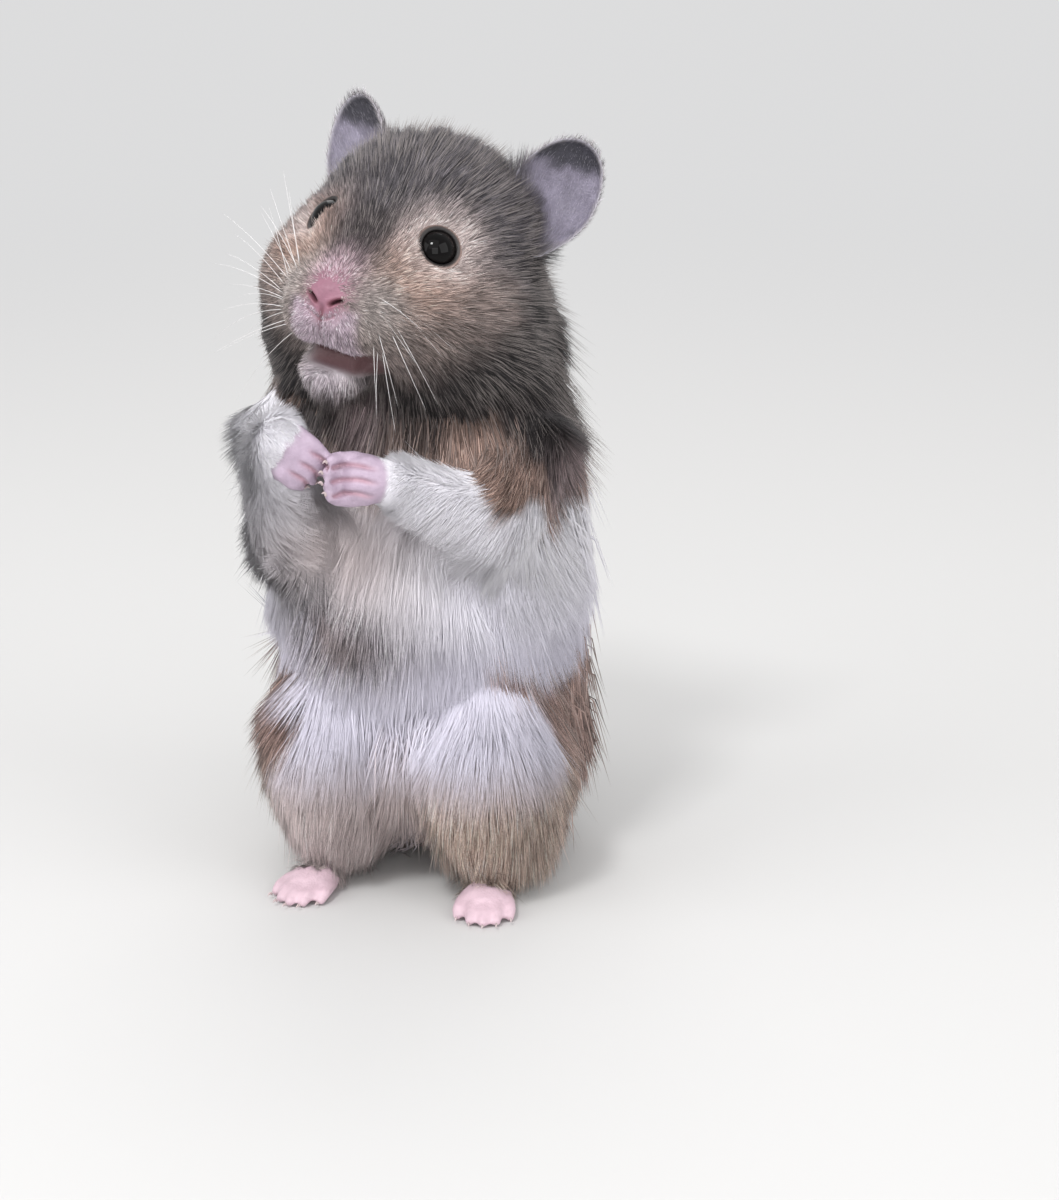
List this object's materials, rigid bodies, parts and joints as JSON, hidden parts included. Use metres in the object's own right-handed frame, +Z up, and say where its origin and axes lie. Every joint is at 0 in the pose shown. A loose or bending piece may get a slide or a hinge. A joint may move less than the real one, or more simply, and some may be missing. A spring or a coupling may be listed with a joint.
{
  "type": "syrian hamster",
  "caption": "Life-size still model of a banded hamster sitting up on its haunches, forepaws held together at the chest, head raised and turned, mouth slightly open.",
  "frame": {"origin": "on the floor, under the middle of the model's box", "axes": "+Z up; the hamster faces -Y, so its left side is +X; its head is turned a little to its right"},
  "size_m": [0.0612, 0.0821, 0.1297],
  "materials": {
    "coat_grey_brown": "short thick fur, grey-brown with dark tips and tan on the face",
    "coat_white": "soft thick white fur",
    "bare_skin": "bare pink skin, fine creases, soft sheen",
    "ear_skin": "thin lilac-grey skin with a down of very short hairs",
    "eye": "glossy wet black",
    "claw": "pale translucent horn"
  },
  "bodies": {
    "root": {"ear_left": "ear_skin", "ear_right": "ear_skin", "eye_left": "eye", "eye_right": "eye", "finger_claw_left_1": "claw", "finger_claw_left_2": "claw", "finger_claw_left_3": "claw", "finger_claw_left_4": "claw", "finger_claw_right_1": "claw", "finger_claw_right_2": "claw", "finger_claw_right_3": "claw", "finger_claw_right_4": "claw", "foot_left": "bare_skin", "foot_right": "bare_skin", "forearm_left": "coat_white", "forearm_right": "coat_white", "hand_left": "bare_skin", "hand_right": "bare_skin", "head": "coat_grey_brown", "lower_jaw": "coat_white", "neck": "coat_grey_brown", "nose": "bare_skin", "tail": "bare_skin", "thigh_left": "coat_white", "thigh_right": "coat_white", "toe_claw_left_1": "claw", "toe_claw_left_2": "claw", "toe_claw_left_3": "claw", "toe_claw_left_4": "claw", "toe_claw_left_5": "claw", "toe_claw_right_1": "claw", "toe_claw_right_2": "claw", "toe_claw_right_3": "claw", "toe_claw_right_4": "claw", "toe_claw_right_5": "claw", "trunk": "coat_white", "upper_arm_left": "coat_white", "upper_arm_right": "coat_white"}
  },
  "joints": []
}
